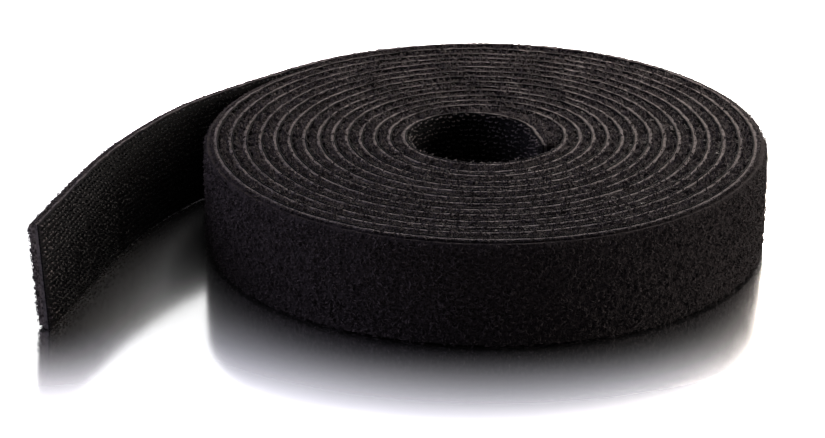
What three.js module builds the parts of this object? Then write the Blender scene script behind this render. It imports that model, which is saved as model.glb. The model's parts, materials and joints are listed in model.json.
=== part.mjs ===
// Hook and loop tape, wound on itself with no core. A woven hook ply and a napped loop ply are bonded
// back to back by a film, and the tape is rolled up with its loops outside. The roll lies on the tape's
// edges. Its outer end has peeled off and stands free as a tail, and the last bit of its inner end is
// bent into the bore. Where the tape hangs free it is a chain of short links, so that it can bend.
// Millimetres and degrees, +Z up, origin on the floor at the middle of the part's box.
import * as THREE from "three";

// The tape's section, from the bore outwards
const TAPE_WIDTH = 20;
const HOOK_PLY = 0.75;
const BOND_FILM = 0.35;
const PRESSED_PILE = 1.1; // loop ply that lies between two turns
const FREE_PILE = 2.1; // loop ply with nothing pressed against it
const TURN_GAP = 0.46; // air from one turn's loops to the next turn's hooks

// The winding, measured along the middle of the film
const START_RADIUS = 13.15;
const START_ANGLE = 22;
const TURNS = 14 + 1 / 3;
const STEPS_PER_TURN = 24;

// The first turn is pushed in at its start, and the dent fades out along it
const DENT_DEPTH = 2.6;
const DENT_SPAN = 158;

// The straight inner end, as an angle at the roll's axis, and how far it can bend into the bore
const TAB_SWEEP = 44;
const TAB_BEND_IN = 50;

// The tail: equal links, the bend that each one holds at rest, and how far each hinge can turn
const LINK_LENGTH = 14.4;
const LINK_BENDS = [2.7, 14.2, 6.5, 7.6, 1.3, -0.4];
const LINK_STEPS = 3;
const LINK_BEND_IN = 10;
const LINK_BEND_OUT = 40;
const LINK_GAP = 0.3;

const PITCH = HOOK_PLY + BOND_FILM + PRESSED_PILE + TURN_GAP;
const HALF_FILM = BOND_FILM / 2;

const radians = THREE.MathUtils.degToRad;

// Distances of the plies' faces from the middle of the film, outwards
const hookFace = () => -HALF_FILM - HOOK_PLY;
const filmBack = () => -HALF_FILM;
const filmFront = () => HALF_FILM;
const loopFace = (station) => HALF_FILM + station.pile;

const PLIES = [
  {
    name: "hook_ply",
    faces: [hookFace, filmBack],
    material: new THREE.MeshStandardMaterial({ color: 0x141416, roughness: 0.6, metalness: 0 }),
  },
  {
    name: "bond_film",
    faces: [filmBack, filmFront],
    material: new THREE.MeshStandardMaterial({ color: 0x6b6a69, roughness: 0.55, metalness: 0 }),
  },
  {
    name: "loop_ply",
    faces: [filmFront, loopFace],
    material: new THREE.MeshStandardMaterial({ color: 0x1c1b1d, roughness: 0.95, metalness: 0 }),
  },
];

// A point of the film's middle line, with the way that the tape runs there and its side with the loops
function station(point, along, pile) {
  return { point, along, out: new THREE.Vector2(along.y, -along.x), pile };
}

// How far a face is cut back at a hinge, so that the two ends clear each other when the tape bends.
// A cut end has no hinge, and stays square.
function cutBack(hinge, offset) {
  if (!hinge) return 0;
  const bend = offset < 0 ? hinge.hookSide : hinge.loopSide;
  return LINK_GAP / 2 + Math.abs(offset) * Math.tan(radians(bend) / 2);
}

// The line that one face of a stretch of tape draws on the floor
function faceLine(stretch, face) {
  const last = stretch.stations.length - 1;
  return stretch.stations.map((at, i) => {
    const offset = face(at);
    const point = at.point.clone().addScaledVector(at.out, offset);
    if (i === 0) point.addScaledVector(at.along, cutBack(stretch.startHinge, offset));
    if (i === last) point.addScaledVector(at.along, -cutBack(stretch.endHinge, offset));
    return point;
  });
}

// Adds a stretch's three plies to a group, each drawn up from the floor to the tape's width
function addPlies(group, stretch) {
  for (const ply of PLIES) {
    const [inner, outer] = ply.faces.map((face) => faceLine(stretch, face));
    const outline = new THREE.Shape([...inner, ...outer.reverse()]);
    const geometry = new THREE.ExtrudeGeometry(outline, { depth: TAPE_WIDTH, bevelEnabled: false });
    const mesh = new THREE.Mesh(geometry, ply.material);
    mesh.name = `${stretch.name}_${ply.name}`;
    group.add(mesh);
  }
}

// The winding
const spiralRadius = (angle) => START_RADIUS + (PITCH * (angle - START_ANGLE)) / 360;
const polar = (radius, angle) =>
  new THREE.Vector2(radius * Math.cos(radians(angle)), radius * Math.sin(radians(angle)));

function windingPoint(angle) {
  const faded = Math.min((angle - START_ANGLE) / DENT_SPAN, 1);
  const dent = DENT_DEPTH * Math.cos((faded * Math.PI) / 2) ** 2;
  return polar(spiralRadius(angle) - dent, angle);
}

// One step of straight tape at each end leaves both ends square. The pile is free on the last turn only,
// from the step after the one where the tail leaves it.
function windingStations() {
  const steps = Math.round(TURNS * STEPS_PER_TURN);
  const stepAngle = (TURNS * 360) / steps;
  const points = [];
  for (let i = 0; i <= steps; i++) points.push(windingPoint(START_ANGLE + i * stepAngle));
  return points.map((point, i) => {
    const along = points[Math.min(i + 1, steps)].clone().sub(points[Math.max(i - 1, 0)]).normalize();
    const covered = i * stepAngle <= (TURNS - 1) * 360 + stepAngle / 2;
    return station(point, along, covered ? PRESSED_PILE : FREE_PILE);
  });
}

const tailHinge = { hookSide: LINK_BEND_IN, loopSide: LINK_BEND_OUT };
const stations = windingStations();
const first = stations[0];
const last = stations[stations.length - 1];

// The inner end runs straight from the dent back to where it meets the turn around it
const tabTip = polar(spiralRadius(START_ANGLE - TAB_SWEEP), START_ANGLE - TAB_SWEEP);
const tabRun = first.point.clone().sub(tabTip);
const tabKink = THREE.MathUtils.radToDeg(first.along.angle() - tabRun.angle());
const tabHinge = { hookSide: TAB_BEND_IN + tabKink, loopSide: 0 };

const roll = { name: "roll", stations, startHinge: tabHinge, endHinge: tailHinge };
const winding = new THREE.Group();
addPlies(winding, roll);

// The inner tab, in a group at its hinge
const tabAhead = new THREE.Vector2(1, 0);
const tab = {
  name: "inner_tab",
  stations: [
    station(new THREE.Vector2(-tabRun.length(), 0), tabAhead, PRESSED_PILE),
    station(new THREE.Vector2(), tabAhead, PRESSED_PILE),
  ],
  startHinge: null,
  endHinge: tabHinge,
};
const tabGroup = new THREE.Group();
tabGroup.name = "inner_tab";
tabGroup.position.set(first.point.x, first.point.y, 0);
tabGroup.rotation.z = tabRun.angle();
addPlies(tabGroup, tab);
winding.add(tabGroup);

// The tail: each link is an arc that starts where the link before it ends, in a group at its hinge
function arcStation(length, bend, share) {
  const half = (radians(bend) * share) / 2;
  const reach = length * share * (half === 0 ? 1 : Math.sin(half) / half);
  const point = new THREE.Vector2(reach * Math.cos(half), reach * Math.sin(half));
  return station(point, new THREE.Vector2(Math.cos(2 * half), Math.sin(2 * half)), FREE_PILE);
}

const links = [];
let carrier = winding;
let hingePoint = last.point;
let hingeTurn = last.along.angle();
LINK_BENDS.forEach((bend, i) => {
  const link = {
    name: `tail_${i + 1}`,
    stations: [],
    startHinge: tailHinge,
    endHinge: i === LINK_BENDS.length - 1 ? null : tailHinge,
  };
  for (let k = 0; k <= LINK_STEPS; k++) link.stations.push(arcStation(LINK_LENGTH, bend, k / LINK_STEPS));
  const group = new THREE.Group();
  group.name = link.name;
  group.position.set(hingePoint.x, hingePoint.y, 0);
  group.rotation.z = hingeTurn;
  addPlies(group, link);
  carrier.add(group);
  links.push({ stretch: link, group });
  carrier = group;
  hingePoint = link.stations[LINK_STEPS].point;
  hingeTurn = radians(bend);
});

// The part's frame: on the floor, at the middle of the box round the whole tape
const tape = new THREE.Group();
tape.add(winding);
const middle = new THREE.Box3().setFromObject(winding, true).getCenter(new THREE.Vector3());
winding.position.set(-middle.x, -middle.y, 0);
tape.updateMatrixWorld(true);

// The least gap that the tape leaves to itself, from the corners of each face to the sides of the other
function wholeFace(face) {
  const stretches = [{ stretch: tab, group: tabGroup }, { stretch: roll, group: winding }, ...links];
  return stretches.flatMap(({ stretch, group }) =>
    faceLine(stretch, face).map((point) => group.localToWorld(new THREE.Vector3(point.x, point.y, 0))),
  );
}

function leastGap(corners, sides) {
  const side = new THREE.Line3();
  const nearest = new THREE.Vector3();
  let least = Infinity;
  corners.forEach((corner, i) => {
    for (let k = 0; k + 1 < sides.length; k++) {
      if (Math.abs(i - k) < STEPS_PER_TURN / 2) continue;
      side.set(sides[k], sides[k + 1]).closestPointToPoint(corner, true, nearest);
      least = Math.min(least, corner.distanceTo(nearest));
    }
  });
  return least;
}

const hooks = wholeFace(hookFace);
const loops = wholeFace(loopFace);
const gap = Math.min(leastGap(hooks, loops), leastGap(loops, hooks));
console.log(`least gap of the tape to itself: ${gap.toFixed(3)} mm`);

export default tape;
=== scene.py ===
import json
import math

import bmesh
import bpy
import numpy as np
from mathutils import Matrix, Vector
from mathutils.kdtree import KDTree


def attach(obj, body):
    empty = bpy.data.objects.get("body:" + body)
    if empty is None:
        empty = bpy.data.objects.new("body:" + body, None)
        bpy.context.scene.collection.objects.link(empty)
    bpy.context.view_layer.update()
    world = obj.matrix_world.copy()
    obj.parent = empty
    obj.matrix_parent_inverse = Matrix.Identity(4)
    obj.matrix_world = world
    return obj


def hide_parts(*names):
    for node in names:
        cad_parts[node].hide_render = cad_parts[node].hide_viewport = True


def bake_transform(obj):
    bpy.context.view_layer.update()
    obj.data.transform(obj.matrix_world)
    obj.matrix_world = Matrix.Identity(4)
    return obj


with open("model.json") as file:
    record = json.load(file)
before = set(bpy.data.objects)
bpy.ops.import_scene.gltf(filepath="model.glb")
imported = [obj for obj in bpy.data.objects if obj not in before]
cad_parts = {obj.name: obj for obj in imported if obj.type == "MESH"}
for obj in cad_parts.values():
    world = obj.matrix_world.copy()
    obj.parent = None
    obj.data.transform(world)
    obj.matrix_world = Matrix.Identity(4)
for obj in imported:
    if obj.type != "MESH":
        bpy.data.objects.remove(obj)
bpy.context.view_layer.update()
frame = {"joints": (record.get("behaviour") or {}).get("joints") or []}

# Bond film: grey polyurethane, cast between the two plies to join them back to back, with their yarn ends
# in it. Only its edge shows, as the light line on every turn and down the tail's cut end. Its middle is
# the line that the whole tape follows, so the winding comes first, in mm and in degrees about the axis.
TAPE_WIDTH = 20.0
PITCH = 2.66
START_RADIUS = 13.15
START_ANGLE = 22
END_ANGLE = START_ANGLE + 360 * (14 + 1 / 3)
CAD_STEP = 15
DENT_DEPTH = 2.6
DENT_SPAN = 158
TAB_SWEEP = 44
LINK = 14.4
LINK_BENDS = (2.7, 14.2, 6.5, 7.6, 1.3, -0.4)
LINK_STEPS = 36
TAIL_LEAN = 1.3
SAMPLE = 0.2
SMOOTHED = 11


def at_angle(radius, angle):
    angle = np.radians(angle)
    return np.stack([radius * np.cos(angle), radius * np.sin(angle)], -1)


def spiral(angle):
    return START_RADIUS + PITCH * (angle - START_ANGLE) / 360


def smooth(share):
    share = np.clip(share, 0, 1)
    return share * share * (3 - 2 * share)


# The inner end is straight from its tip to the kink, where the first turn starts with a dent. The solids
# wind in straight steps, so the smooth line lies a little inside their corners. It meets the last step
# halfway along, and turns towards it over the angle before that.
MEETING_TURN = 40
ANGLE_STEP = 0.5
tip = at_angle(spiral(START_ANGLE - TAB_SWEEP), START_ANGLE - TAB_SWEEP)
kink = at_angle(START_RADIUS - DENT_DEPTH, START_ANGLE)
tab = tip + (kink - tip) * np.linspace(0, 1, 60)[:-1, None]
meeting = END_ANGLE - CAD_STEP / 2
turned = np.arange(START_ANGLE, meeting, ANGLE_STEP)
dent = DENT_DEPTH * np.cos(np.minimum((turned - START_ANGLE) / DENT_SPAN, 1) * math.pi / 2) ** 2
step_height = 1 - math.cos(math.radians(CAD_STEP / 2))
inset = 1 - step_height / 2 * (1 + smooth(1 - (meeting - turned) / MEETING_TURN))

# No two turns lie alike: they wander in waves of a height, a length and a phase, and the last two have a
# slack place each, of a height, a place and a span. Both ends of the winding stay true.
WAVES = ((0.18, 730, 1.08), (0.05, 47, 0), (0.03, 17, 4))
SLACK_PLACES = ((0.6, 5000, 60), (0.35, 4690, 70))
TRUE_START = 300
TRUE_END = 60
uneven = sum(height * np.sin(turned / length + phase) for height, length, phase in WAVES)
uneven += sum(height * np.exp(-(((turned - angle) / span) ** 2)) for height, angle, span in SLACK_PLACES)
uneven *= np.clip((turned - DENT_SPAN - START_ANGLE) / TRUE_START, 0, 1)
uneven *= np.clip((meeting - CAD_STEP - turned) / TRUE_END, 0, 1)
wound = at_angle((spiral(turned) - dent) * inset + uneven, turned)

# The tail carries on from the last straight step, link by link.
peel = at_angle(spiral(END_ANGLE), END_ANGLE)
last_step = wound[-1] + (peel - wound[-1]) * np.linspace(0, 1, 30)[1:, None]
heading = math.atan2(*(peel - at_angle(spiral(END_ANGLE - CAD_STEP), END_ANGLE - CAD_STEP))[::-1])
tail = [peel]
for bend in LINK_BENDS:
    for _ in range(LINK_STEPS):
        heading += math.radians(bend) / LINK_STEPS
        tail.append(tail[-1] + LINK / LINK_STEPS * at_angle(1, math.degrees(heading)))

line = np.concatenate([tab, wound, last_step, tail[1:]])
run = np.concatenate([[0], np.cumsum(np.linalg.norm(np.diff(line, axis=0), axis=1))])
KINK = run[len(tab)]
END = run[-1]
PEEL = END - LINK * len(LINK_BENDS)
along = np.arange(0, END, SAMPLE)
line = np.stack([np.interp(along, run, line[:, i]) for i in (0, 1)], -1)
way = np.unwrap(np.arctan2(*np.gradient(line, axis=0).T[::-1]))
way = np.convolve(np.pad(way, SMOOTHED // 2, mode="edge"), np.full(SMOOTHED, 1 / SMOOTHED), mode="valid")

hinges = {joint["child"]: np.array(joint["pos_m"]) for joint in frame["joints"]}
axis = 1000 * hinges["inner_tab"] * (1, 1, 0) - np.append(kink, 0)
LIFT = 0.14
LIFT_WAVES = ((0.09, 37, 0), (0.05, 11, 2))
SETTLED = 60


def wind(straight):
    """Bends places on the straight tape, in mm along it, towards its hooks and up from its lower edge, to
    where they lie in the part, in metres. No two turns end quite level, the tail's end settles on the
    floor, and the tail leans out over its foot."""
    s, hookwards, up = np.moveaxis(np.asarray(straight, float), -1, 0)
    freed = np.clip((s - PEEL) / (END - PEEL), 0, 1)
    hookwards = hookwards + TAIL_LEAN * np.sin(freed * math.pi / 2) * (1 - up / TAPE_WIDTH)
    turn = np.interp(s, along, way)
    x = np.interp(s, along, line[:, 0]) - hookwards * np.sin(turn)
    y = np.interp(s, along, line[:, 1]) + hookwards * np.cos(turn)
    lift = LIFT + sum(height * np.sin(s / length + phase) for height, length, phase in LIFT_WAVES)
    lift = lift * np.clip((END - s) / SETTLED, 0, 1)
    return (np.stack([x, y, up + lift], -1) + axis) / 1000


# The tape is carried in stretches. The wound one rides on the roll. Each of the others reaches across a
# hinge, from the middle of the link before it to the middle of its own, and the last one goes on to the
# end.
TAB_REACH = 4
TAB_END = KINK + TAB_REACH
TAB_BEND = 3.5
LINK_BEND = 7.0
ROLL_END = PEEL - LINK / 2
stretches = {"inner_tab": (0, TAB_END), "roll": (TAB_END, ROLL_END)}
crossings = {"inner_tab": ("inner_tab", "roll", KINK, TAB_BEND)}
free = {}
before = "roll"
for k in range(len(LINK_BENDS)):
    link = f"tail_{k + 1}"
    hinge = PEEL + LINK * k
    end = END if k + 1 == len(LINK_BENDS) else hinge + LINK / 2
    stretches[link] = free[link] = (hinge - LINK / 2, end)
    crossings[link] = (before, link, hinge, LINK_BEND)
    before = link


def carry(piece, stretch, ply=None):
    """Parents a piece to its stretch's body; a piece on a stretch across a hinge is only left where it is.
    ply names the solid there that it stands for, which is hidden.
    """
    if stretch in crossings:
        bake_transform(piece)
    else:
        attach(piece, stretch)
    if ply:
        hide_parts(f"{stretch}_{ply}")


def straight_places(bm, name):
    """The mesh of what was modelled straight, and the places of its vertices."""
    mesh = bpy.data.meshes.new(name)
    bm.to_mesh(mesh)
    bm.free()
    places = np.empty(3 * len(mesh.vertices), np.float32)
    mesh.vertices.foreach_get("co", places)
    return mesh, places.reshape(-1, 3)


CREASE = 70


def bent(mesh, straight, look):
    """The mesh as an object, bent into place. It keeps its straight places, for its material's pattern."""
    mesh.vertices.foreach_set("co", wind(straight).astype(np.float32).ravel())
    kept = mesh.attributes.new("tape", "FLOAT_VECTOR", "POINT")
    kept.data.foreach_set("vector", np.asarray(straight, np.float32).ravel())
    mesh.update()
    mesh.shade_smooth()
    mesh.set_sharp_from_angle(angle=math.radians(CREASE))
    mesh.materials.append(look)
    piece = bpy.data.objects.new(mesh.name, mesh)
    bpy.context.scene.collection.objects.link(piece)
    return piece


STRIP_STEP = 1.4
CORNER_STEPS = 3


def strip(name, start, end, faces, corners, margin, ragged):
    """One layer of the tape, still straight: a section with round corners, drawn out from start to end and
    short of the tape's edges by the margin. Its hook and loop faces lie that far from the film's middle,
    hookwards positive, and each has its own corner. Its edges are ragged: they wander in short waves."""
    bm = bmesh.new()
    bmesh.ops.create_cube(bm, size=1)
    bmesh.ops.scale(bm, vec=(end - start, faces[0] - faces[1], TAPE_WIDTH - 2 * margin), verts=bm.verts)
    bmesh.ops.translate(bm, vec=((start + end) / 2, sum(faces) / 2, TAPE_WIDTH / 2), verts=bm.verts)
    for face, corner in zip(faces, corners):
        edges = [e for e in bm.edges if all(abs(v.co.y - face) < 1e-4 for v in e.verts)]
        edges = [e for e in edges if abs(e.verts[0].co.x - e.verts[1].co.x) > 1]
        bmesh.ops.bevel(bm, geom=edges, offset=corner, segments=CORNER_STEPS, profile=0.5, affect="EDGES",
                        material=-1)
    lengthwise = [e for e in bm.edges if abs(e.verts[0].co.x - e.verts[1].co.x) > 1]
    bmesh.ops.subdivide_edges(bm, edges=lengthwise, cuts=int((end - start) / STRIP_STEP))
    mesh, places = straight_places(bm, name)
    s, y, z = places.T
    wander = np.sin(s * 1.9) * np.sin(s * 0.73 + 1) + 0.6 * np.sin(s * 4.1 + 3 * y)
    places[:, 2] -= 0.6 * ragged * (1 + wander) * np.sign(z - TAPE_WIDTH / 2)
    places[:, 1] += 0.3 * ragged * np.sin(s * 1.3 + z)
    return mesh, places


def new_look(name, roughness, specular):
    material = bpy.data.materials.new(name)
    material.use_nodes = True
    shader = material.node_tree.nodes["Principled BSDF"]
    shader.inputs["Roughness"].default_value = roughness
    shader.inputs["Specular IOR Level"].default_value = specular
    return material, material.node_tree, shader


def add(tree, kind, links=(), **settings):
    """A node with its settings, and its inputs' values or the outputs that feed them."""
    made = tree.nodes.new(kind)
    for key, value in settings.items():
        setattr(made, key, value)
    for key, value in dict(links).items():
        if isinstance(value, bpy.types.NodeSocket):
            tree.links.new(value, made.inputs[key])
        else:
            made.inputs[key].default_value = value
    return made


def two_tones(tree, value, low, high):
    """A ramp between two stops, each a position and a colour."""
    ramp = add(tree, "ShaderNodeValToRGB", {"Fac": value})
    for stop, (position, colour) in zip(ramp.color_ramp.elements, (low, high)):
        stop.position = position
        stop.color = (*colour, 1)
    return ramp.outputs["Color"]


def bumps(tree, height, strength, depth):
    bump = add(tree, "ShaderNodeBump", {"Height": height, "Strength": strength, "Distance": depth})
    return bump.outputs["Normal"]


FILM_FACE = 0.3
FILM_CORNER = 0.07
FILM_MARGIN = 0.25
FILM_RAGGED = 0.09
FILM_DARK = (0.02, 0.0172, 0.0166)
FILM_LIGHT = (0.046, 0.0402, 0.0388)
film_look, tree, shader = new_look("bond_film", 0.8, 0.01)
place = add(tree, "ShaderNodeAttribute", attribute_name="tape")
grain = add(tree, "ShaderNodeTexNoise", {"Vector": place.outputs["Vector"], "Scale": 1.6, "Detail": 3.0})
grey = two_tones(tree, grain.outputs["Fac"], (0.36, FILM_DARK), (0.6, FILM_LIGHT))
tree.links.new(grey, shader.inputs["Base Color"])
tree.links.new(bumps(tree, grain.outputs["Fac"], 0.5, 0.0001), shader.inputs["Normal"])
for stretch, (start, end) in stretches.items():
    mesh, places = strip(f"{stretch}_film", start, end, (FILM_FACE, -FILM_FACE), (FILM_CORNER, FILM_CORNER),
                         FILM_MARGIN, FILM_RAGGED)
    carry(bent(mesh, places, film_look), stretch, "bond_film")

# Hook ground: a tight plain weave of black nylon yarn that carries the hooks, laid on the film's inner
# side. It is seen between the hooks in the bore and along the tail. The waves of its two yarns are given
# in radians a mm.
HOOK_GROUND = 0.55
GROUND_BACK = 0.28
GROUND_CORNER = 0.1
GROUND_MARGIN = 0.08
GROUND_RAGGED = 0.14
GROUND_DARK = (0.001, 0.001, 0.0011)
GROUND_LIGHT = (0.003, 0.0027, 0.0027)
WEFT_WAVE = 14.0
WARP_WAVE = 12.6
ground_look, tree, shader = new_look("hook_ground", 0.8, 0.015)
place = add(tree, "ShaderNodeAttribute", attribute_name="tape")
parts = add(tree, "ShaderNodeSeparateXYZ", {"Vector": place.outputs["Vector"]})
weft = add(tree, "ShaderNodeMath", {0: parts.outputs["X"], 1: WEFT_WAVE}, operation="MULTIPLY")
weft = add(tree, "ShaderNodeMath", {0: weft.outputs[0]}, operation="SINE")
warp = add(tree, "ShaderNodeMath", {0: parts.outputs["Z"], 1: WARP_WAVE}, operation="MULTIPLY")
warp = add(tree, "ShaderNodeMath", {0: warp.outputs[0]}, operation="SINE")
weave = add(tree, "ShaderNodeMath", {0: weft.outputs[0], 1: warp.outputs[0]}, operation="MULTIPLY")
weave = add(tree, "ShaderNodeMapRange", {"Value": weave.outputs[0], "From Min": -1.0}).outputs["Result"]
black = two_tones(tree, weave, (0.0, GROUND_DARK), (1.0, GROUND_LIGHT))
tree.links.new(black, shader.inputs["Base Color"])
tree.links.new(bumps(tree, weave, 0.7, 0.0002), shader.inputs["Normal"])
for stretch, (start, end) in stretches.items():
    mesh, places = strip(f"{stretch}_hook_ground", start, end, (HOOK_GROUND, GROUND_BACK),
                         (GROUND_CORNER, GROUND_CORNER), GROUND_MARGIN, GROUND_RAGGED)
    ground = bent(mesh, places, ground_look)
    carry(ground, stretch, "hook_ply")

# Hooks: loops of black nylon monofilament woven into the ground, set by heat and clipped on one side. They
# stand in close rows along the tape, and every other one leans the other way. Wound up, they grip the
# loops of the turn inside, so only the bore and the tail show them all, and other turns the top ones.
HOOK_STEP = 0.55
HOOK_ROWS = 20
HOOK_INSET = 0.45
HOOK_THREAD = 0.11
HOOK_STEM = 0.4
HOOK_CROWN = 0.25
HOOK_SWEEP = 205
HOOK_SUNK = 0.1
HOOK_DARK = (0.001, 0.001, 0.0011)
HOOK_LIGHT = (0.05, 0.041, 0.0392)
HOOK_SCATTER = 0.11
HOOK_SCATTER_DEPTH = 0.3
HOOK_TILT = 0.15
HOOK_TWIST = 0.3
HOOK_SIZES = (0.85, 1.15)
WHOLE_HOOK = (4, 6)
EDGE_HOOK = (3, 5)
END_CLEAR = 0.2
BORE_HOOKS = KINK + 88
EDGE_STEP = 0.56
EDGE_DEPTH = 0.5
EDGE_PAINTED_SHADE = 0.08
FREE_PAINTED_SHADE = 0.02
END_LIGHT_AND_WEAR = 1.4
HANDLED_AND_LIT = 28
HANDLED_AND_LIT_SHARE = 0.3
FRAYED_AND_LIT = 7
FRAYED_AND_LIT_SHARE = 0.7


def closed_tube(bm):
    """A thread's tube, with its open ends filled and its faces turned outwards."""
    bmesh.ops.holes_fill(bm, edges=bm.edges, sides=0)
    bmesh.ops.recalc_face_normals(bm, faces=bm.faces)
    bm.verts.index_update()
    return bm


def clipped_hook(sides, steps):
    bm = bmesh.new()
    bmesh.ops.create_circle(bm, segments=sides, radius=HOOK_THREAD)
    stem = bmesh.ops.spin(bm, geom=bm.verts[:] + bm.edges[:], cent=(0, 0, 0), axis=(0, 0, 1),
                          dvec=(0, 0, HOOK_STEM), angle=0, steps=1, use_merge=False, use_duplicate=False)
    bmesh.ops.spin(bm, geom=stem["geom_last"], cent=(HOOK_CROWN, 0, HOOK_STEM), axis=(0, 1, 0),
                   dvec=(0, 0, 0), angle=math.radians(HOOK_SWEEP), steps=steps, use_merge=False,
                   use_duplicate=False)
    return closed_tube(bm)


def copies(name, look, bm, sides, roots, up, across, size, shade):
    """Many copies of one thread as one bent mesh. Each stands on its root, its third axis up and its first
    across, with its own size along each and its own shade. A thread's colour depends only on its shade
    and on the height along it, so all threads share one small map of these two. A copy's place on it is
    opened out a little, into its section, so that it covers some of the map."""
    places = np.array([v.co for v in bm.verts])
    face_sizes = np.array([len(f.verts) for f in bm.faces])
    face_corners = np.array([v.index for f in bm.faces for v in f.verts])
    bm.free()
    count = len(roots)
    up = up / np.linalg.norm(up, axis=1, keepdims=True)
    across = across - up * (across * up).sum(1, keepdims=True)
    across = across / np.linalg.norm(across, axis=1, keepdims=True)
    stance = np.stack([across, np.cross(up, across), up], -1) * size[:, None, :]
    straight = (np.einsum("kij,nj->kni", stance, places) + roots[:, None]).reshape(-1, 3)
    corners = (face_corners + len(places) * np.arange(count)[:, None]).ravel()
    face_ends = np.cumsum(np.tile(face_sizes, count))
    mesh = bpy.data.meshes.new(name)
    mesh.vertices.add(len(straight))
    mesh.loops.add(len(corners))
    mesh.polygons.add(len(face_ends))
    mesh.loops.foreach_set("vertex_index", corners.astype(np.int32))
    mesh.polygons.foreach_set("loop_start", np.append(0, face_ends[:-1]).astype(np.int32))
    mesh.update(calc_edges=True)
    shade = np.repeat(shade, len(places))
    height = np.tile(np.clip(places[:, 2] / places[:, 2].max(), 0, 1), count)
    kept = mesh.attributes.new("fibre", "FLOAT_VECTOR", "POINT")
    kept.data.foreach_set("vector", np.stack([shade, height, 0 * shade], -1).astype(np.float32).ravel())
    turn = np.tile(np.arange(len(places)) % sides * (2 * math.pi / sides), count)
    on_map = 0.05 + 0.9 * np.stack([shade, height], -1)
    on_map += 0.02 * np.stack([np.cos(turn), np.sin(turn)], -1)
    mesh.uv_layers.new(name="OFBake").uv.foreach_set("vector", on_map[corners].astype(np.float32).ravel())
    return bent(mesh, straight, look)


# The tone of a thread, from one thread to the next, painted darker towards its foot for the shade among
# threads
tone = bpy.data.node_groups.new("fibre_tone", "ShaderNodeTree")
tone.interface.new_socket("Dark", in_out="INPUT", socket_type="NodeSocketColor")
tone.interface.new_socket("Light", in_out="INPUT", socket_type="NodeSocketColor")
tone.interface.new_socket("Color", in_out="OUTPUT", socket_type="NodeSocketColor")
tones = add(tone, "NodeGroupInput")
thread = add(tone, "ShaderNodeAttribute", attribute_name="fibre")
parts = add(tone, "ShaderNodeSeparateXYZ", {"Vector": thread.outputs["Vector"]})
# Painted shade: a thread's foot keeps a fifth of its tone, and its top all of it
top = add(tone, "ShaderNodeMapRange", {"Value": parts.outputs["Y"], "To Min": 0.2})
share = {0: parts.outputs["X"], 1: top.outputs["Result"]}
share = add(tone, "ShaderNodeMath", share, operation="MULTIPLY")
mixed = {0: share.outputs[0], 6: tones.outputs["Dark"], 7: tones.outputs["Light"]}
mixed = add(tone, "ShaderNodeMix", mixed, data_type="RGBA")
add(tone, "NodeGroupOutput", {"Color": mixed.outputs[2]})


def fibre_look(name, roughness, specular, dark, light):
    look, tree, shader = new_look(name, roughness, specular)
    colour = add(tree, "ShaderNodeGroup", {}, node_tree=tone)
    colour.inputs["Dark"].default_value = (*dark, 1)
    colour.inputs["Light"].default_value = (*light, 1)
    tree.links.new(colour.outputs["Color"], shader.inputs["Base Color"])
    return look


hook_look = fibre_look("hook_filament", 0.5, 0.02, HOOK_DARK, HOOK_LIGHT)


def hooks(name, s, z, detail, lightness, seed):
    """Hooks at these places along the tape and up from its lower edge, none quite like the next. The detail
    is the number of sides and of steps of their tubes."""
    sides, steps = detail
    rng = np.random.default_rng(seed)
    count = len(s)
    lean = np.where(np.arange(count) % 2, 1.0, -1.0)
    roots = np.stack([s, np.full(count, HOOK_GROUND - HOOK_SUNK), z], -1)
    roots += rng.normal(0, HOOK_SCATTER, (count, 3)) * (1, HOOK_SCATTER_DEPTH, 1)
    up = np.stack([rng.normal(0, HOOK_TILT, count), np.ones(count), rng.normal(0, HOOK_TILT, count)], -1)
    across = np.stack([lean, np.zeros(count), rng.normal(0, HOOK_TWIST, count)], -1)
    size = np.repeat(rng.uniform(*HOOK_SIZES, (count, 1)), 3, 1)
    shade = np.clip(lightness * rng.uniform(0, 1, count), 0, 1)
    return copies(name, hook_look, clipped_hook(sides, steps), sides, roots, up, across, size, shade)


def handled_and_lit(s):
    """How much paler the tape is towards its free end, from 0 to 1, most over its last few mm: partly the
    wear of handling, and partly painted light where the tail's end is lit."""
    lightness = HANDLED_AND_LIT_SHARE * smooth((s - END + HANDLED_AND_LIT) / HANDLED_AND_LIT)
    return lightness + FRAYED_AND_LIT_SHARE * smooth((s - END + FRAYED_AND_LIT) / FRAYED_AND_LIT)


def hook_rows(start, end):
    """Places of the hooks, on a grid that carries on from one stretch to the next."""
    step = np.arange(math.ceil(start / HOOK_STEP), math.ceil((end - END_CLEAR) / HOOK_STEP))
    step, row = (x.ravel() for x in np.meshgrid(step, np.arange(HOOK_ROWS), indexing="ij"))
    kept = (step + row) % 2 == 0
    heights = np.linspace(HOOK_INSET, TAPE_WIDTH - HOOK_INSET, HOOK_ROWS)
    return step[kept] * HOOK_STEP, heights[row[kept]]


# Painted light and shade: the bore's hooks keep the filament's full tone, lighter than the tail's.
for stretch, (start, end) in stretches.items():
    s, z = hook_rows(start, BORE_HOOKS if stretch == "roll" else end)
    # The tail's hooks are painted dark for the roll's shadow, and paler towards the lit, handled end.
    lightness = FREE_PAINTED_SHADE + END_LIGHT_AND_WEAR * handled_and_lit(s) if stretch in free else 1.0
    carry(hooks(f"{stretch}_hooks", s, z, WHOLE_HOOK, lightness, 2), stretch)
# Painted shade: the top-edge hooks are darker, to dim the light they catch.
edge_rng = np.random.default_rng(3)
s = np.arange(BORE_HOOKS, ROLL_END, EDGE_STEP)
z = TAPE_WIDTH - HOOK_INSET - EDGE_DEPTH * edge_rng.uniform(0, 1, len(s))
carry(hooks("roll_top_edge_hooks", s, z, EDGE_HOOK, EDGE_PAINTED_SHADE, 4), "roll")
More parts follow.
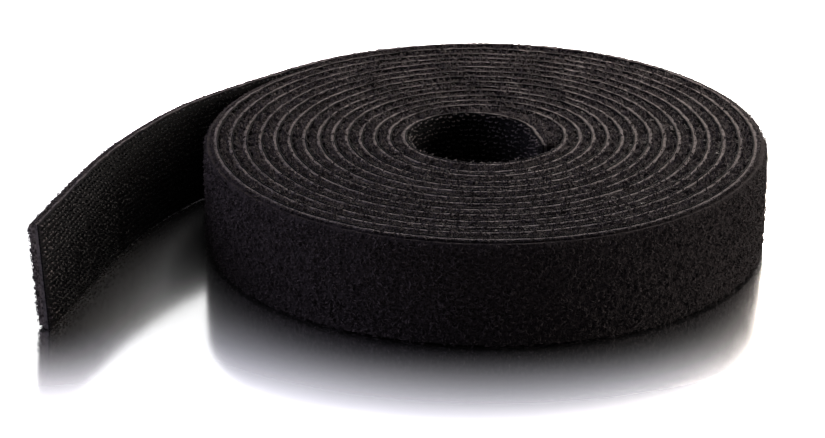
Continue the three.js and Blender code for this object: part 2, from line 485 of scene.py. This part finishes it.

# Loop ground: a knitted backing with the matted feet of the loops, laid on the film's outer side. Between
# two turns it is packed against the hooks outside, and where the pile is free its feet rise to a soft,
# lumpy bed. At the tail's cut end it is painted paler, partly for its paler cut yarn and partly as painted
# light where the end is lit.
OUTER_TURN = PEEL - 2 * math.pi * spiral(END_ANGLE)
ROOT_FACE = -0.28
ROOT_SECTION = -2.0
ROOT_CORNERS = (0.2, 0.7)
ROOT_MARGIN = 0.4
ROOT_RAGGED = 0.16
PACKED_GAP = 0.15
FREE_ROOT = 0.7
FREED_OVER = 8
ROOT_DARK = (0.003, 0.0026, 0.0026)
ROOT_LIGHT = (0.014, 0.0112, 0.011)
CUT_AND_LIT_DARK = (0.008, 0.0068, 0.0062)
CUT_AND_LIT_LIGHT = (0.075, 0.063, 0.057)
BED_ROUND_END = 1.6
root_look, tree, shader = new_look("pile_root", 0.95, 0.02)
place = add(tree, "ShaderNodeAttribute", attribute_name="tape")
felt = add(tree, "ShaderNodeTexNoise", {"Vector": place.outputs["Vector"], "Scale": 2.4, "Detail": 3.0})
felt = felt.outputs["Fac"]
black = two_tones(tree, felt, (0.35, ROOT_DARK), (0.68, ROOT_LIGHT))
# Painted light: the ground is paler at the lit cut end, as well as for its cut yarn.
cut = two_tones(tree, felt, (0.35, CUT_AND_LIT_DARK), (0.68, CUT_AND_LIT_LIGHT))
parts = add(tree, "ShaderNodeSeparateXYZ", {"Vector": place.outputs["Vector"]})
ending = {"Value": parts.outputs["X"], "From Min": END - BED_ROUND_END, "From Max": END}
ending = add(tree, "ShaderNodeMapRange", ending, interpolation_type="SMOOTHSTEP")
black = {0: ending.outputs["Result"], 6: black, 7: cut}
black = add(tree, "ShaderNodeMix", black, data_type="RGBA").outputs[2]
tree.links.new(black, shader.inputs["Base Color"])
tree.links.new(bumps(tree, felt, 1.0, 0.0004), shader.inputs["Normal"])

turn_radii = np.linalg.norm(np.concatenate([tab, wound]), axis=1)
turn_angles = np.concatenate([np.degrees(np.arctan2(tab[:, 1], tab[:, 0])), turned])
turn_rooms = np.interp(turn_angles + 360, turn_angles, turn_radii) - turn_radii


def room(s):
    """How far the turn outside lies from this one, from film to film. It is wider behind the dent."""
    return np.interp(s, run[:len(turn_rooms)], turn_rooms)


def root_depth(s):
    """How far the ground reaches out from the film's middle: to the next turn, or less where it is free."""
    packed = room(s) - HOOK_GROUND - PACKED_GAP
    return FREE_ROOT + (packed - FREE_ROOT) * smooth((OUTER_TURN - s) / FREED_OVER)


for stretch, (start, end) in stretches.items():
    mesh, places = strip(f"{stretch}_loop_ground", start, end, (ROOT_FACE, ROOT_SECTION), ROOT_CORNERS,
                         ROOT_MARGIN, ROOT_RAGGED)
    share = (places[:, 1] - ROOT_FACE) / (ROOT_SECTION - ROOT_FACE)
    places[:, 1] = ROOT_FACE - share * (root_depth(places[:, 0]) + ROOT_FACE)
    root = bent(mesh, places, root_look)
    carry(root, stretch, "loop_ply")

# The bed of the free pile is lower at the tape's edges and at its cut end, where it rounds off.
BED_FOOT = 0.5
BED_RISE = 1.25
BED_CLUMPS = 0.16
BED_ROUND_TOP = 1.7
BED_ROUND_FOOT = 0.8
BED_MARGIN = 0.2
BED_TUCK = 0.6
BED_STEP = 0.45
CLUMP_WAVES = 26
wave_rng = np.random.default_rng(5)
wave_way = wave_rng.uniform(0, 2 * math.pi, CLUMP_WAVES)
wave_pitch = wave_rng.uniform(3.0, 9.0, CLUMP_WAVES)
wave_phase = wave_rng.uniform(0, 2 * math.pi, CLUMP_WAVES)


def clumps(s, z):
    """How high the pile stands over its mean, from -1 to 1 about: it gathers in clumps 1 to 2 mm wide."""
    s = np.asarray(s)[..., None]
    z = np.asarray(z)[..., None]
    return np.sin((s * np.cos(wave_way) + z * np.sin(wave_way)) * wave_pitch + wave_phase).sum(-1) / 5


def free_height(s, z):
    """Where the free pile is dense, in mm out from the film's middle."""
    edge = np.minimum(z / BED_ROUND_FOOT, (TAPE_WIDTH - z) / BED_ROUND_TOP)
    edge = np.clip(np.minimum(edge, (END - s) / BED_ROUND_END), 0, 1)
    return BED_FOOT + BED_RISE * np.sqrt(1 - (1 - edge) ** 2) + BED_CLUMPS * clumps(s, z) * edge


def pile_bed(name, start, end):
    """The free pile's dense part. Its rim is tucked into the ground under it."""
    bm = bmesh.new()
    bmesh.ops.create_grid(bm, x_segments=max(int((end - start) / BED_STEP), 2),
                          y_segments=int(TAPE_WIDTH / BED_STEP), size=0.5)
    mesh, places = straight_places(bm, name)
    s = start + (places[:, 0] + 0.5) * (end - start)
    z = BED_MARGIN + (places[:, 1] + 0.5) * (TAPE_WIDTH - 2 * BED_MARGIN)
    height = free_height(s, z)
    edge = abs(places[:, 1]) > 0.4999
    z[edge] -= np.sign(places[edge, 1]) * BED_TUCK
    cut = s > END - 1e-3
    s[cut] -= BED_TUCK
    height[edge | cut] = -ROOT_FACE
    return bent(mesh, np.stack([s, -height, z], -1), root_look)


free["roll"] = (OUTER_TURN, ROLL_END)
for stretch, (start, end) in free.items():
    carry(pile_bed(f"{stretch}_pile_bed", start, end), stretch)

# Loop pile: crimped nylon filament, knitted into the loop ground and brushed up into a nap of small loops.
# It is free on the outer turn and the tail, and a fringe of it shows at the edges of every turn.
LOOP_RADIUS = 0.87
LOOP_THREAD = 0.13
LOOP_WIDTHS = (0.26, 0.46)
LOOP_THICKNESS = 0.75
LOOP_SHADES = (1.5, 1.9)
FRINGE_WORN = 0.66
FRINGE_LOW = 0.2
FRINGE_PROUD = 0.55
FRINGE_DEPTHS = (0.35, 1.0)
FRINGE_FROM = 0.2
FRINGE_CLOSE = 1.3
FRINGE_CLEAR = 0.5
TOP_FRINGE = 7.0
BOTTOM_FRINGE = 1.0
SLOT_FRINGE = 10.0
TAB_FRINGE = 16.0
SLOT = 21
RIM_PROUD = -0.02
UPPER_RIM = 5.0
UPPER_RIM_REACH = 0.45
LOWER_RIM = 3.0
LOWER_RIM_REACH = 1.1
PILE_DARK = (0.0064, 0.0053, 0.0052)
PILE_LIGHT = (0.036, 0.0285, 0.028)
NAP_DENSITY = 3.0
NAP_HEIGHTS = (0.42, 0.75)
NAP_ROOTED = 0.1
NAP_FROM = 0.35
NAP_TO = TAPE_WIDTH - 0.9
NAP_EDGE = 1.8
NAP_END = 2.0
NAP_SHORT = 0.3
NAP_LEAN = 0.7
NAP_INWARDS = 0.3
pile_look = fibre_look("loop_pile", 0.75, 0.03, PILE_DARK, PILE_LIGHT)


def pile_loop():
    """Half a ring of thread, 1 mm high and 2 mm wide, for each loop to scale down."""
    bm = bmesh.new()
    bmesh.ops.create_circle(bm, segments=3, radius=LOOP_THREAD)
    bmesh.ops.translate(bm, vec=(LOOP_RADIUS, 0, 0), verts=bm.verts)
    bmesh.ops.spin(bm, geom=bm.verts[:] + bm.edges[:], cent=(0, 0, 0), axis=(0, -1, 0), dvec=(0, 0, 0),
                   angle=math.pi, steps=4, use_merge=False, use_duplicate=False)
    return closed_tube(bm)


def loops(name, roots, up, tall, lightness, rng):
    count = len(roots)
    across = rng.normal(0, 1, (count, 3))
    size = np.stack([rng.uniform(*LOOP_WIDTHS, count), np.full(count, LOOP_THICKNESS), tall], -1)
    shade = np.clip(lightness * rng.beta(*LOOP_SHADES, count), 0, 1)
    return copies(name, pile_look, pile_loop(), 3, roots, up, across, size, shade)


def nap(name, start, end, seed):
    """The free pile's loops: they stand out of the bed, leaning every way. At the tape's edges and at the
    cut end they are shorter, and at the upper edge and the cut end they lean inwards."""
    rng = np.random.default_rng(seed)
    count = int((end - start) * TAPE_WIDTH * NAP_DENSITY)
    s = rng.uniform(start, min(end, END - NAP_SHORT), count)
    z = rng.uniform(NAP_FROM, NAP_TO, count)
    roots = np.stack([s, NAP_ROOTED - free_height(s, z), z], -1)
    over = np.clip((z - TAPE_WIDTH) / NAP_EDGE + 1, 0, 1) - np.clip(1 - z / NAP_EDGE, 0, 1)
    sideways = rng.normal(0, NAP_LEAN, count) * (1 - abs(over)) - NAP_INWARDS * np.maximum(over, 0)
    ending = np.clip((s - END) / NAP_END + 1, 0, 1)
    lengthways = rng.normal(0, NAP_LEAN, count) * (1 - 0.6 * ending) - NAP_INWARDS * ending
    up = np.stack([lengthways, -np.ones(count), sideways], -1)
    tall = rng.uniform(*NAP_HEIGHTS, count) * (1 - 0.4 * np.maximum(abs(over), ending))
    # Mottled at random, and painted paler towards the cut end: partly handling, partly painted light on the
    # lit end.
    lightness = np.clip(0.65 + 0.32 * clumps(s, z), 0.2, 1) + 0.35 * handled_and_lit(s) + ending
    return loops(name, roots, up, tall, lightness, rng)


def fringe(name, start, end, per_mm, reach, proud, seed, top=True):
    """Loops that stand out of the pile at the tape's upper or lower edge, so many a mm, about level with
    the film and as far out from it as reach says. Some stand close along the film and hide it in part."""
    rng = np.random.default_rng(seed)
    count = int((end - start) * per_mm)
    deep = rng.uniform(*FRINGE_DEPTHS, count)
    s = rng.uniform(start, end, count)
    out = FRINGE_FROM + reach(s) * rng.uniform(0, 1, count) ** FRINGE_CLOSE
    roots = np.stack([s, -out, TAPE_WIDTH - deep if top else deep], -1)
    tall = deep - FRINGE_LOW + (FRINGE_LOW + proud) * rng.uniform(0, 1, count) ** 2
    upright = np.full(count, 1.0 if top else -1.0)
    up = np.stack([rng.normal(0, 0.45, count), rng.normal(-0.15, 0.4, count), upright], -1)
    return loops(name, roots, up, tall, FRINGE_WORN, rng)


def between_turns(s):
    return room(s) - HOOK_GROUND - FRINGE_CLEAR


def over_bed(s):
    return UPPER_RIM_REACH


def under_bed(s):
    return LOWER_RIM_REACH


nap_ends = np.linspace(OUTER_TURN, ROLL_END, 6)
for k, (start, end) in enumerate(zip(nap_ends, nap_ends[1:])):
    carry(nap(f"roll_nap_{k + 1}", start, end, 10 + k), "roll")
fringe_ends = np.linspace(TAB_END, OUTER_TURN, 4)
for k, (start, end) in enumerate(zip(fringe_ends, fringe_ends[1:])):
    top_fringe = fringe(f"roll_top_fringe_{k + 1}", start, end, TOP_FRINGE, between_turns, FRINGE_PROUD,
                        20 + k)
    carry(top_fringe, "roll")
bottom_fringe = fringe("roll_bottom_fringe", TAB_END, OUTER_TURN, BOTTOM_FRINGE, between_turns, RIM_PROUD,
                       24, top=False)
carry(bottom_fringe, "roll")
slot_fringe = fringe("roll_slot_fringe", TAB_END, TAB_END + SLOT, SLOT_FRINGE, between_turns, FRINGE_PROUD,
                     26)
carry(slot_fringe, "roll")
tab_fringe = fringe("inner_tab_top_fringe", 0, TAB_END, TAB_FRINGE, between_turns, FRINGE_PROUD, 25)
carry(tab_fringe, "inner_tab")
for k, (stretch, (start, end)) in enumerate(free.items()):
    if stretch != "roll":
        carry(nap(f"{stretch}_nap", start, end, 30 + k), stretch)
    upper_rim = fringe(f"{stretch}_upper_rim", start, end, UPPER_RIM, over_bed, RIM_PROUD, 40 + k)
    carry(upper_rim, stretch)
    lower_rim = fringe(f"{stretch}_lower_rim", start, end, LOWER_RIM, under_bed, RIM_PROUD, 50 + k,
                       top=False)
    carry(lower_rim, stretch)

# Floor: a glossy white studio sweep. It mirrors the tape close to it and is plain white further off. It is
# a grid whose squares widen outwards, and each corner knows how much it mirrors.
FLOOR_SQUARES = 150
FLOOR_NEAR = 0.12
FLOOR_FAR = 2.9
FLOOR_WIDENING = 9
MIRRORED = 0.04
MIRROR_FADE = 2.4
FLOOR_GLOW = 0.45
bm = bmesh.new()
bmesh.ops.create_grid(bm, x_segments=FLOOR_SQUARES, y_segments=FLOOR_SQUARES, size=1)
for corner in bm.verts:
    corner.co = [FLOOR_NEAR * x + FLOOR_FAR * x ** FLOOR_WIDENING for x in corner.co]
floor_mesh, places = straight_places(bm, "floor")
foot = KDTree(len(along[::5]))
for k, place in enumerate(wind(np.outer(along[::5], (1, 0, 0)))):
    foot.insert((place[0], place[1], 0), k)
foot.balance()
away = np.array([foot.find(place)[2] for place in places])
mirror = floor_mesh.attributes.new("mirror", "FLOAT", "POINT")
mirror.data.foreach_set("value", np.clip(1 - (away / MIRRORED) ** MIRROR_FADE, 0, 1).astype(np.float32))
floor = bpy.data.objects.new("floor", floor_mesh)
bpy.context.scene.collection.objects.link(floor)
floor_look, tree, shader = new_look("floor", 0.13, 0.5)
shader.inputs["Base Color"].default_value = (0.93, 0.93, 0.93, 1)
near = add(tree, "ShaderNodeAttribute", attribute_name="mirror").outputs["Fac"]
tree.links.new(near, shader.inputs["Metallic"])
ray = add(tree, "ShaderNodeLightPath").outputs["Is Camera Ray"]
bare = add(tree, "ShaderNodeMath", {0: 1.0, 1: near}, operation="SUBTRACT").outputs[0]
glow = add(tree, "ShaderNodeMath", {0: bare, 1: ray}, operation="MULTIPLY").outputs[0]
glow = add(tree, "ShaderNodeMath", {0: glow, 1: FLOOR_GLOW}, operation="MULTIPLY").outputs[0]
shader.inputs["Emission Color"].default_value = (1, 1, 1, 1)
tree.links.new(glow, shader.inputs["Emission Strength"])
floor_mesh.materials.append(floor_look)


# Studio light: four softboxes out of view. The room itself is white to what looks at it or mirrors it, and
# it lights the roll mostly from behind.
def softbox(name, place, size, power, colour):
    light = bpy.data.lights.new(name, "AREA")
    light.shape = "RECTANGLE"
    light.size, light.size_y = size
    light.energy = power
    light.color = colour
    lamp = bpy.data.objects.new(name, light)
    lamp.location = place
    lamp.visible_camera = False
    lamp.rotation_euler = (-Vector(place)).to_track_quat("-Z", "Y").to_euler()
    bpy.context.scene.collection.objects.link(lamp)


softbox("key", (0.25, 0.5, 0.55), (0.3, 0.3), 1.8, (1, 0.92, 0.86))
softbox("back", (0.06, 0.115, 0.09), (0.14, 0.1), 1.25, (1, 0.9, 0.83))
softbox("right", (0.9, 0.08, 0.26), (0.35, 0.2), 17.5, (1, 0.97, 0.93))
softbox("left", (-0.64, 0.0, 0.33), (0.4, 0.4), 12.5, (0.72, 0.72, 0.97))
world = bpy.data.worlds.new("studio")
bpy.context.scene.world = world
world.use_nodes = True
tree = world.node_tree
outwards = add(tree, "ShaderNodeTexCoord")
parts = add(tree, "ShaderNodeSeparateXYZ", {"Vector": outwards.outputs["Generated"]})
behind = {"Value": parts.outputs["Y"], "From Min": -0.3, "From Max": 0.9}
behind = add(tree, "ShaderNodeMapRange", behind, interpolation_type="SMOOTHSTEP")
glow = {0: behind.outputs["Result"], 6: (0.055, 0.062, 0.1, 1), 7: (0.9, 0.88, 0.88, 1)}
glow = add(tree, "ShaderNodeMix", glow, data_type="RGBA")
ray = add(tree, "ShaderNodeLightPath")
seen = {0: ray.outputs["Diffuse Depth"], 6: (1.1, 1.1, 1.1, 1), 7: glow.outputs[2]}
seen = add(tree, "ShaderNodeMix", seen, data_type="RGBA")
tree.links.new(seen.outputs[2], tree.nodes["Background"].inputs["Color"])

# Camera: a long lens in front of the roll and a little above it, where the photograph was taken from. The
# roll's axis is right of the picture's middle.
FOCAL_LENGTH = 147.6
FROM_AXIS = (0, -0.5832, 0.242)
TILT = 20.84
ASIDE = 0.02
BELOW = 0.02504
lens = bpy.data.cameras.new("camera")
lens.lens = FOCAL_LENGTH
lens.clip_start = 0.01
camera = bpy.data.objects.new("camera", lens)
camera.location = Vector(axis / 1000) + Vector(FROM_AXIS)
tilt = math.radians(TILT)
forward = Vector((0, math.cos(tilt), -math.sin(tilt)))
upward = Vector((0, math.sin(tilt), math.cos(tilt)))
aim = forward - ASIDE * Vector((1, 0, 0)) - BELOW * upward
camera.rotation_euler = aim.to_track_quat("-Z", "Y").to_euler()
bpy.context.scene.collection.objects.link(camera)
bpy.context.scene.camera = camera
bpy.context.scene.view_settings.view_transform = "Standard"
